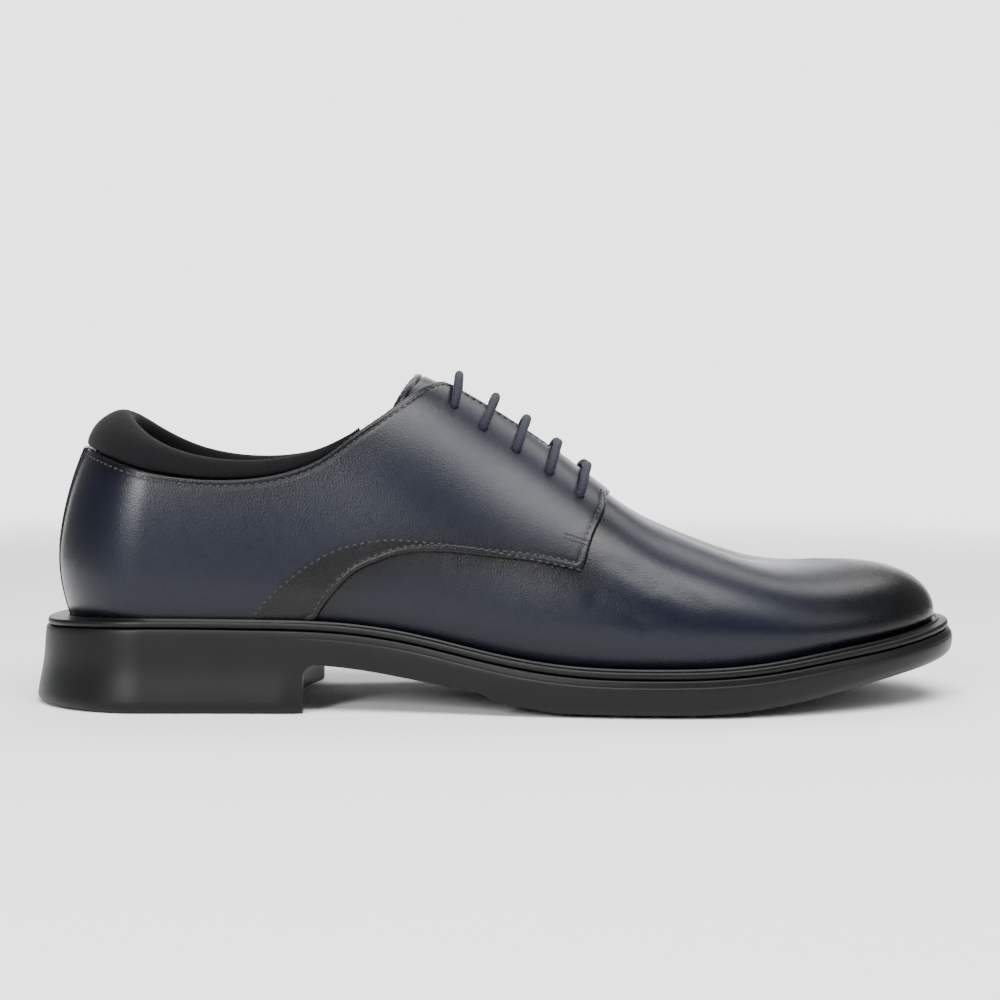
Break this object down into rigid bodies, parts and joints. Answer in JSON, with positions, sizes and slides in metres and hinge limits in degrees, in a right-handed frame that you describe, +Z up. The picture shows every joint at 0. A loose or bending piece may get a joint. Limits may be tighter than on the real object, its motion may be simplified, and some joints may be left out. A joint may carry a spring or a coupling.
{
  "type": "lace-up derby shoe",
  "caption": "Right lace-up derby shoe with open lacing quarters, a padded collar, a tongue and a one-piece moulded sole with a low heel.",
  "frame": {"origin": "middle of the heel's flat bottom, on the floor", "axes": "+X to the toe, +Y to the inner (medial) side of the foot, +Z up from the floor"},
  "size_m": [0.3019, 0.106, 0.1071],
  "materials": {
    "smooth_leather": "navy fine-grain leather burnished to black at the toe, the heel and the seams, satin gloss",
    "black_fabric": "matte padded fabric",
    "lining_fabric": "matte lining",
    "black_rubber": "satin moulded rubber",
    "braided_lace": "round braided cord, matte"
  },
  "bodies": {
    "root": {"upper": "smooth_leather", "collar": "black_fabric", "tongue": "smooth_leather", "insole": "lining_fabric", "welt": "black_rubber", "outsole": "black_rubber", "lace_bar_1": "braided_lace", "lace_bar_2": "braided_lace", "lace_bar_3": "braided_lace", "lace_bar_4": "braided_lace", "lace_bar_5": "braided_lace"}
  },
  "joints": []
}
